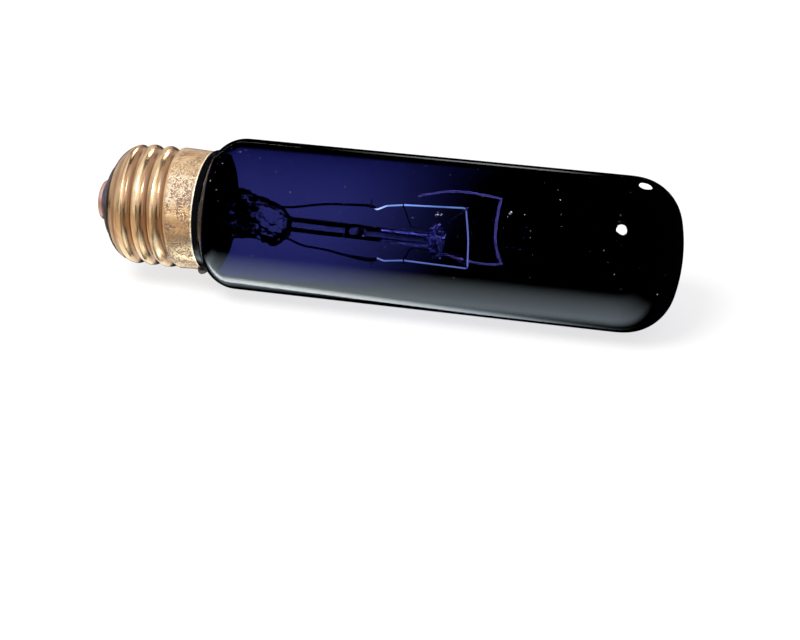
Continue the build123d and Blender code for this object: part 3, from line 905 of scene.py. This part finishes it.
stem = {"radius": 5.4, "wall": 0.9, "boreEnd": 9.0, "flareLip": 9.8, "lip": 10.9, "lipPlace": -7.0,
        "tip": 18.3, "pressed": (5.5, 10.5), "halfThick": 2.1,
        "leaning": (7.5, 15.0), "drop": 1.35, "taper": 0.1,
        "lobe": 0.7, "lobePlace": 14.5, "lobeLength": 1.4, "lobeDepths": (1.0, 4.0),
        "lump": 0.5, "lumpy": (0.5, 5.0), "dents": [(0.75, 1.0), (1.6, 0.4), (3.2, 0.15)], "steps": 120}
rod = {"start": 17.6, "startDrop": 1.15, "end": 50.1, "endDrop": 1.55, "radius": 1.62, "button": 3.3,
       "halfButton": 1.0, "neck": 0.5, "neckRise": 0.3, "corner": 0.9, "lump": 1.1, "lumpy": (-0.9, 0.2),
       "dents": [(0.6, 1.0), (1.1, 0.7), (2.4, 0.35)], "sway": [(0.3, 0.05)],
       "bubble": 32.6, "bubbleLength": 2.4, "bubbleRadius": 1.15, "bubbleDrop": 1.338, "steps": 72,
       "bubbleSteps": 32}


def dented(point, dents):
    return sum((noise.noise_vector(point * scale) * strength for scale, strength in dents), Vector())


def makeStem():
    radius, wall, lip = stem["radius"], stem["wall"], stem["lipPlace"]
    bore = radius - wall
    flare = stem["flareLip"] - radius
    centre = (lip + flare, stem["flareLip"])
    outline = joinPoints(
        arcPoints(*centre, flare, 180, 90, 16),
        linePoints((centre[0], radius), (stem["tip"] - radius, radius), 0.3),
        arcPoints(stem["tip"] - radius, 0, radius, 90, -90, 26),
        [(stem["boreEnd"], 0)],
        arcPoints(stem["boreEnd"] - bore, 0, bore, 0, 90, 14),
        linePoints((stem["boreEnd"] - bore, bore), (centre[0], bore), 0.5),
        arcPoints(*centre, flare + wall, 270, -90, 16),
        [(lip - wall, stem["lip"]), (lip, stem["lip"])],
        arcPoints(*centre, flare, 180, 1, 1))
    piece = turnPiece("stemPress", outline, stem["steps"])
    for vertex in piece.data.vertices:
        off = (vertex.co - bulbAxis) / mm
        off.y *= 1 + (stem["halfThick"] / radius - 1) * smoothStep(*stem["pressed"], off.x)
        leaning = smoothStep(*stem["leaning"], off.x)
        lobe = stem["lobe"] * math.exp(-((off.x - stem["lobePlace"]) / stem["lobeLength"]) ** 2)
        lobe *= smoothStep(*stem["lobeDepths"], -off.z)
        off.z = off.z * (1 - stem["taper"] * leaning) - stem["drop"] * leaning - lobe
        # pinched hot between two jaws, so the press is full of dents
        off += dented(off, stem["dents"]) * stem["lump"] * smoothStep(*stem["lumpy"], off.x)
        vertex.co = bulbAxis + off * mm
    finishPiece(piece, clearGlass, "clear_glass", "stem_flare")


def makeRod():
    half, button, radius, end = rod["halfButton"], rod["button"], rod["radius"], rod["end"]
    neck = (end - half - rod["neck"], radius)
    outline = joinPoints(
        [(rod["start"], 0)],
        linePoints((rod["start"], radius), neck, 0.4),
        roundedCorners([
            neck, (end - half, radius + rod["neckRise"]), (end - half, button), (end + half, button),
            (end + half, 0)], rod["corner"], 8))
    piece = turnPiece("arborRod", outline, rod["steps"])
    for vertex in piece.data.vertices:
        off = (vertex.co - bulbAxis) / mm
        share = (off.x - rod["start"]) / (end - rod["start"])
        soft = smoothStep(*rod["lumpy"], off.x - end + half)  # squeezed soft round the wires
        off += dented(off, rod["dents"]) * rod["lump"] * soft + dented(off, rod["sway"])
        off.z -= rod["startDrop"] + (rod["endDrop"] - rod["startDrop"]) * share
        vertex.co = bulbAxis + off * mm
    # a long bubble that was drawn out with the rod
    long, wide = rod["bubbleLength"], rod["bubbleRadius"]
    turns = [math.pi * i / 20 for i in range(21)]
    outline = [(rod["bubble"] + long * math.cos(t), wide * math.sin(t)) for t in turns]
    bubble = turnPiece("rodBubble", outline, rod["bubbleSteps"])
    for vertex in bubble.data.vertices:
        vertex.co.z -= rod["bubbleDrop"] * mm
    bubble.data.flip_normals()
    joinPieces(piece, bubble)
    finishPiece(piece, smokedGlass, "clear_glass", "arbor_rod")


makeStem()
makeRod()


# dust on the glass; spots and lumps are place and angle

dust = {"seed": 11, "count": 120, "places": (2.0, 100.0), "spread": 75, "size": (0.05, 0.12),
        "large": 0.17, "largeShare": (0.5, 1.0), "lump": 0.2, "lumpShare": (0.4, 1.0), "perLump": 7,
        "lumpPlace": 0.3, "lumpAngle": 1.3, "flat": (0.3, 0.45), "long": (0.7, 1.5), "wide": (0.5, 0.9),
        "turn": (0, 6.3), "ragged": (0.7, 1.2), "sunkShare": 0.3, "sunk": 0.02,
        "lumps": [(53.6, 51), (68.1, 45)],
        "spots": [(71.1, 45), (76.7, 21), (77.6, 30), (78.4, 42), (78.9, 51), (87.9, 65), (89.0, 73),
                  (90.4, 81), (91.9, 92), (98.7, 102), (83.3, 103), (2.9, 25), (4.6, 35), (3.9, 42),
                  (5.9, 50), (6.7, 58), (5.6, 27), (8.4, 13), (9.4, 10), (13.2, 18), (19.9, 17),
                  (23.3, 46), (21.8, 46), (44.4, 25), (54.0, 16)]}


def dustPlaces(draw):
    # place, angle and size of each fleck
    flecks = [(*where, draw.uniform(*dust["largeShare"]) * dust["large"]) for where in dust["spots"]]
    for place, angle in dust["lumps"]:
        for i in range(dust["perLump"]):
            near = place + draw.gauss(0, dust["lumpPlace"])
            beside = angle + draw.gauss(0, dust["lumpAngle"])
            flecks.append((near, beside, dust["lump"] * draw.uniform(*dust["lumpShare"])))
    for i in range(dust["count"]):
        place = draw.uniform(*dust["places"])
        angle = draw.gauss(0, dust["spread"])
        flecks.append((place, angle, draw.uniform(*dust["size"])))
    return flecks


def makeDust():
    draw = random.Random(dust["seed"])
    bpy.ops.object.select_all(action="DESELECT")
    made = []
    for place, angle, size in dustPlaces(draw):
        height, slope = glassHeight(place)
        flat = size * draw.uniform(*dust["flat"])
        lean = Matrix.Rotation(-math.atan(slope), 3, "Y")
        turned = Matrix.Rotation(draw.uniform(*dust["turn"]), 3, "Z")
        facing = Matrix.Rotation(math.radians(angle), 3, "X") @ lean @ turned
        shape = Vector((size * draw.uniform(*dust["long"]), size * draw.uniform(*dust["wide"]), flat))
        centre = spot(place, height - flat * dust["sunkShare"] - dust["sunk"], angle)
        bpy.ops.mesh.primitive_ico_sphere_add(subdivisions=1, radius=1.0)
        fleck = bpy.context.object
        for vertex in fleck.data.vertices:
            ragged = Vector([c * s * draw.uniform(*dust["ragged"]) for c, s in zip(vertex.co, shape)])
            vertex.co = centre + (facing @ ragged) * mm
        fleck.location = (0, 0, 0)
        made.append(fleck)
    joinPieces(*made)
    piece = nameNew("dustFlecks")
    bpy.ops.object.shade_smooth()
    finishPiece(piece, settledDust, "tinted_glass")


makeDust()


# carried-over solids keep their shape and get their finish

nodeFinish = {
    "exhaust_tube": clearGlass,
    "seal_wire_upper": copperCladWire, "seal_wire_lower": copperCladWire,
    "centre_lead": copperCladWire, "side_lead": copperCladWire,
    "support_wire_rear_upper": molybdenumWire, "support_wire_rear_lower": molybdenumWire,
    "support_wire_front_upper": molybdenumWire, "support_wire_front_lower": molybdenumWire}
for nodeName, material in nodeFinish.items():
    for socket in nodes[nodeName].material_slots:
        socket.material = material
print("nodes dressed")


# stage: world, floor, flags, lamps, camera; lengths in mm
# a patch of a card is a span along X, a span along Y or up, strength, how much the second span climbs
# along X, and how much the first leans with the second; a span is dark, bright, bright, dark

stage = {"worldLight": 0.7, "floor": 6000, "floorPaint": (0.93, 0.93, 0.93, 1), "floorWhite": 0.72,
         "canopy": 500, "canopyGap": 5, "right": 520, "left": -700, "flag": 1100, "flagHigh": 300,
         "ground": 560, "groundHigh": 0.1, "felt": (0.001, 0.001, 0.001, 1), "wallMirrors": 2.5,
         "cool": (0.91, 0.98, 1.0, 1), "coolLevels": (1.4, 3.0),
         "slitHigh": 18.0, "slitX": (-165, 40), "slitCard": [(480, 0), (480, 165)],
         "slit": [((-155, -75, -55, -20), (62, 96, 116, 150), 0.85, 0.0, 0.0)],
         "stripX": (-52, 80), "stripCard": [(-40, 0.4), (-8, 0.4)], "stripCool": (0.84, 1.0, 1.12, 1),
         "strip": [((-52, -44, 50, 73), (-36, -15, -13.5, -8.2), 1.5, -0.02, 0.0),
                   ((-47, -39, -25, 60), (-12.5, -10.3, -9.5, -8.8), 4.0, 0.048, 0.0)],
         "behind": (-32, 134, -44), "behindSize": 440,
         "white": [((-110, -100, -26, 20), (-30, -24, 38, 46), 1.0, 0.0, 0.38)]}
view = {"place": (105.485, -384.833, 188.932), "turn": 14.76382, "tilt": 25.95715, "lens": 92.25,
        "sensor": 36.0}


def whenSeen(tree):
    # one for what the eye, metal and glass see
    path = lightPath(tree)
    return larger(tree, path["Is Camera Ray"], path["Is Glossy Ray"], path["Is Transmission Ray"])


def seenStraight(tree, below=0.0):
    # nothing for what has been mirrored to and fro inside the glass, one for the rest
    path = lightPath(tree)
    deep = mathNode(tree, "GREATER_THAN", path["Transmission Depth"], stage["wallMirrors"])
    mirrored = mathNode(tree, "MINIMUM", path["Glossy Depth"], 1.0)
    return fromOne(tree, multiply(tree, mirrored, larger(tree, deep, below), path["Is Transmission Ray"]))


def makeWorld():
    # white to look at; what the glass has mirrored inside its wall sees no light from below
    world = bpy.data.worlds.new("studio")
    scene.world = world
    world.use_nodes = True
    tree = world.node_tree
    tree.nodes.clear()
    level = rangeNode(tree, whenSeen(tree), 0.0, 1.0, stage["worldLight"], 1.0)
    up = addNode(tree, "SeparateXYZ", {0: addNode(tree, "TexCoord").outputs["Generated"]}).outputs[2]
    level = multiply(tree, level, seenStraight(tree, mathNode(tree, "LESS_THAN", up, 0.0)))
    white = addNode(tree, "Background", {"Color": (1, 1, 1, 1), "Strength": level})
    addNode(tree, "OutputWorld", {"Surface": white})


def makeFloor():
    material, tree = newMaterial("paleFloor")
    paint = addNode(tree, "BsdfDiffuse", {"Color": stage["floorPaint"]})
    white = addNode(tree, "Emission", {"Color": (1, 1, 1, 1), "Strength": 1.0})
    share = multiply(tree, whenSeen(tree), stage["floorWhite"])
    showSurface(tree, addNode(tree, "MixShader", {0: share, 1: paint, 2: white}))
    floor = addPlane("floor", stage["floor"] * mm, location=(0, 0, 0))
    floor.data.materials.append(material)
    floor.visible_transmission = False


def setCard(card, material, glossy=True, transmission=False):
    # a card of the stage, seen only in what metal and glass mirror, or through the glass
    card.data.materials.append(material)
    card.visible_camera = card.visible_diffuse = False
    card.visible_shadow = card.visible_volume_scatter = False
    card.visible_glossy = glossy
    card.visible_transmission = transmission


def stretchCard(name, points, reach):
    points = [Vector(point) * mm for point in points]
    card = startVertex(name, points[0])
    extrudeTo(points)
    bpy.ops.mesh.select_all(action="SELECT")
    bpy.ops.mesh.extrude_edges_move(TRANSFORM_OT_translate={"value": Vector(reach) * mm})
    bpy.ops.object.mode_set(mode="OBJECT")
    return card


def cardStrip(name, outline, low, high):
    # a card that follows an outline of (y, z) points and runs along X from low to high
    return stretchCard(name, [(low, y, z) for y, z in outline], (high - low, 0, 0))


def hoopPoints(reach, low, high, count):
    # points of a hoop over the bulb, in degrees from the back over the top to the front
    return arcPoints(0, 1, reach, low, high - low, count)


def blackFelt():
    material, tree = newMaterial("blackFelt")
    showSurface(tree, addNode(tree, "BsdfDiffuse", {"Color": stage["felt"]}))
    return material


def brightCard(name, strength, colour=(1, 1, 1)):
    material, tree = newMaterial(name)
    showSurface(tree, addNode(tree, "Emission", {"Color": (*colour, 1), "Strength": strength}))
    return material


def maskedCard(name, patches, upright=False, faint=stage["cool"]):
    # bright patches with soft edges, in a tone of their own where they are faint
    material, tree = newMaterial(name)
    parts = addNode(tree, "SeparateXYZ", {0: objectCoords(tree)}).outputs
    along, up = parts[0], parts[2 if upright else 1]
    total = 0.0
    for acrossX, acrossY, strength, climb, lean in patches:
        place = mathNode(tree, "SUBTRACT", along, multiply(tree, up, lean))
        level = mathNode(tree, "SUBTRACT", up, multiply(tree, along, climb))
        patch = strength
        for part, span in ((place, acrossX), (level, acrossY)):
            start, bright, brightEnd, end = [edge * mm for edge in span]
            rising = rangeNode(tree, part, start, bright)
            falling = rangeNode(tree, part, end, brightEnd)
            patch = multiply(tree, patch, rising, falling)
        total = mathNode(tree, "ADD", patch, total)
    tone = blend(tree, total, stage["coolLevels"], faint, stage["cool"])
    power = multiply(tree, total, seenStraight(tree))
    showSurface(tree, addNode(tree, "Emission", {"Color": tone, "Strength": power}))
    return material


def viewTurn():
    # as the photograph was taken: turned round the upright, and tilted down
    turn, tilt = math.radians(view["turn"]), math.radians(90 - view["tilt"])
    return Matrix.Rotation(turn, 4, "Z") @ Matrix.Rotation(tilt, 4, "X")


def makeFlags():
    felt = blackFelt()
    reach, left, right, ground = stage["canopy"], stage["left"], stage["right"], stage["ground"]
    over = cardStrip("canopyOver", hoopPoints(reach, stage["slitHigh"], 180, 30), left, right)
    backHoop = hoopPoints(reach + stage["canopyGap"], 0, 60, 12)
    back = cardStrip("canopyBack", backHoop, stage["slitX"][1], right)
    groundLine = [(-ground, stage["groundHigh"]), (ground, stage["groundHigh"])]
    setCard(over, felt, transmission=True)
    setCard(back, felt, transmission=True)
    setCard(cardStrip("darkGround", groundLine, left, ground), felt)
    for name, place in {"rightFlag": right, "leftFlag": left}.items():
        centre = Vector((place, 0, stage["flagHigh"])) * mm
        side = addPlane(name, stage["flag"] * mm, location=centre, rotation=(0, math.pi / 2, 0))
        setCard(side, felt, transmission=True)
    strip = cardStrip("frontStrip", stage["stripCard"], *stage["stripX"])
    setCard(strip, maskedCard("frontStrip", stage["strip"], faint=stage["stripCool"]))
    slit = cardStrip("slitCard", stage["slitCard"], *stage["slitX"])
    setCard(slit, maskedCard("slitCard", stage["slit"], upright=True))
    # what stands behind the glass: white on the left, dark on the right, above and below
    behind = addPlane("behindCard", stage["behindSize"] * mm)
    behind.matrix_world = Matrix.Translation(Vector(stage["behind"]) * mm) @ viewTurn()
    setCard(behind, maskedCard("behindCard", stage["white"]), glossy=False, transmission=True)


# small round cards that the glass mirrors: centre, the two half axes, strength
softCards = {"domeSpot": ((57, -194, 324), (37, 4, 3), (-10, 41, 25), 32.0),
             "windowSpot": ((97, 304, 190), (35, 8.5, -24), (-19, 27, -43), 12.0)}


def softCard(name, centre, across, up, strength):
    bpy.ops.object.select_all(action="DESELECT")
    bpy.ops.mesh.primitive_circle_add(vertices=48, radius=1.0, fill_type="NGON")
    card = nameNew(name)
    for vertex in card.data.vertices:
        vertex.co = (Vector(centre) + Vector(across) * vertex.co.x + Vector(up) * vertex.co.y) * mm
    setCard(card, brightCard(name, strength))


# route: place, height and distance backwards
sleeve = {"radius": 0.34, "strength": 11.5, "colour": (0.56, 0.44, 1.0, 1), "reach": 26,
          "route": [(38.9, -7.2, 3.1), (44.3, -7.2, 5.7), (49.4, -7.2, 6.7), (55.5, -7.2, 5.9),
                    (58.2, -7.2, 5.2), (58.2, -7.2, 5.2), (57.7, -5.5, 3.3), (57.0, -2.0, 1.0),
                    (57.2, 0.6, 0.5), (57.5, 3.6, 0.3), (58.4, 6.4, 1.9), (58.4, 6.4, 1.9),
                    (55.8, 6.5, 2.7), (51.1, 6.4, 2.4), (47.4, 6.2, 1.2), (43.3, 6.0, 0.0)]}


def mirrorSleeve():
    # the soft broad line that the inside of the glass mirrors of the filament, bowed as in the photograph
    material, tree = newMaterial("mirrorSleeve")
    near = mathNode(tree, "LESS_THAN", lightPath(tree)["Ray Length"], sleeve["reach"] * mm)
    power = multiply(tree, near, sleeve["strength"])  # for the wall beside it, and not for the dome
    showSurface(tree, addNode(tree, "Emission", {"Color": sleeve["colour"], "Strength": power}))
    curve = newCurve("mirrorSleeve", sleeve["radius"])
    addRun(curve, "NURBS", [spot(place, height) + Vector((0, depth, 0)) * mm
                            for place, height, depth in sleeve["route"]])
    setCard(curveToMesh(curve), material)


# cards for the cap: outline, span along X, strength and tint; cool from above, warm from the table
capCards = [
    ("capBack", hoopPoints(486, 18, 50, 8), -300, 60, 0.75, (1.0, 0.88, 0.76)),
    ("capHigh", hoopPoints(484, 50, 92, 10), -300, 60, 0.95, (0.95, 1.0, 1.05)),
    ("capTop", hoopPoints(482, 92, 150, 14), -300, 60, 1.25, (0.88, 1.08, 1.5)),
    ("capFront", hoopPoints(484, 150, 177, 8), -300, 60, 1.0, (1.0, 0.95, 0.9)),
    ("capOver", hoopPoints(478, 40, 170, 26), -420, -300, 1.1, (1.0, 1.0, 1.0)),
    ("capRight", hoopPoints(480, 70, 150, 16), 60, 500, 1.5, (0.95, 1.0, 1.1)),
    ("capTable", [(-400, 0.3), (-26, 0.3)], -420, -30, 0.66, (1.0, 0.84, 0.66)),
    ("capUnder", [(-26, 0.3), (-14, 0.3)], -420, -30, 0.95, (1.0, 0.92, 0.82)),
    ("capBelow", [(-14, 0.3), (-3, 0.3)], -420, -30, 1.3, (0.95, 1.0, 1.0)),
    ("capHorizon", [(484, 2), (484, 150)], -420, -165, 0.85, (1.0, 0.92, 0.84)),
    ("capAside", [(-400, 0.5), (-45, 0.5)], -30, 480, 0.35, (1.0, 0.8, 0.6))]
# upright cards across X: place, span along Y, span along Z, strength
capSides = [
    ("capLeft", -440, (-300, 500), (2, 400), 0.9),
    ("capEnd", 500, (-440, 60), (150, 430), 1.8),
    ("capLow", 499, (-440, 60), (2, 150), 0.35)]
capPieces = ["capShell", "capInsulator", "contactEyelet", "contactSolder"]
insidePieces = ["glassEnvelope", "stemPress", "arborRod"]
keyLamp = {"centre": (-160, -300, 520), "aim": (-10, 0, 16), "size": 300, "power": 4.0}


def litOnly(name, pieces):
    group = bpy.data.collections.new(name)
    for piece in pieces:
        group.objects.link(piece)
    return group


def makeCapCards():
    # the cap has cards of its own, so that the glass beside it stays dark
    lit = litOnly("capPieces", [bpy.data.objects[name] for name in capPieces])
    made = []
    for name, outline, low, high, strength, colour in capCards:
        made.append((cardStrip(name, outline, low, high), brightCard(name, strength, colour)))
    for name, place, (front, back), (low, high), strength in capSides:
        card = stretchCard(name, [(place, front, low), (place, front, high)], (0, back - front, 0))
        made.append((card, brightCard(name, strength)))
    for card, material in made:
        card.light_linking.receiver_collection = lit
        setCard(card, material)


def makeLamps():
    for name, values in softCards.items():
        softCard(name, *values)
    mirrorSleeve()
    makeCapCards()
    inside = [bpy.data.objects[name] for name in insidePieces] + [nodes[name] for name in nodeFinish]
    bpy.data.objects["filamentCoil"].light_linking.receiver_collection = litOnly("insidePieces", inside)
    light = bpy.data.lights.new("key", "AREA")
    light.shape = "DISK"
    light.size = keyLamp["size"] * mm
    light.energy = keyLamp["power"]
    lamp = bpy.data.objects.new("key", light)
    centre, aim = Vector(keyLamp["centre"]), Vector(keyLamp["aim"])
    lamp.location = centre * mm
    lamp.rotation_euler = (aim - centre).to_track_quat("-Z", "Y").to_euler()
    lamp.visible_glossy = False
    scene.collection.objects.link(lamp)


def makeCamera():
    data = bpy.data.cameras.new("photoView")
    data.sensor_width = view["sensor"]
    data.lens = view["lens"]
    data.clip_start = 0.01
    camera = bpy.data.objects.new("photoView", data)
    camera.matrix_world = Matrix.Translation(Vector(view["place"]) * mm) @ viewTurn()
    scene.collection.objects.link(camera)
    scene.camera = camera


makeWorld()
makeFloor()
makeFlags()
makeLamps()
makeCamera()
scene.view_settings.view_transform = "Standard"
scene.cycles.use_adaptive_sampling = False
scene.cycles.denoising_input_passes = "RGB"
scene.cycles.transmission_bounces = 24
scene.cycles.max_bounces = 28
scene.cycles.transparent_max_bounces = 24
print("stage set")
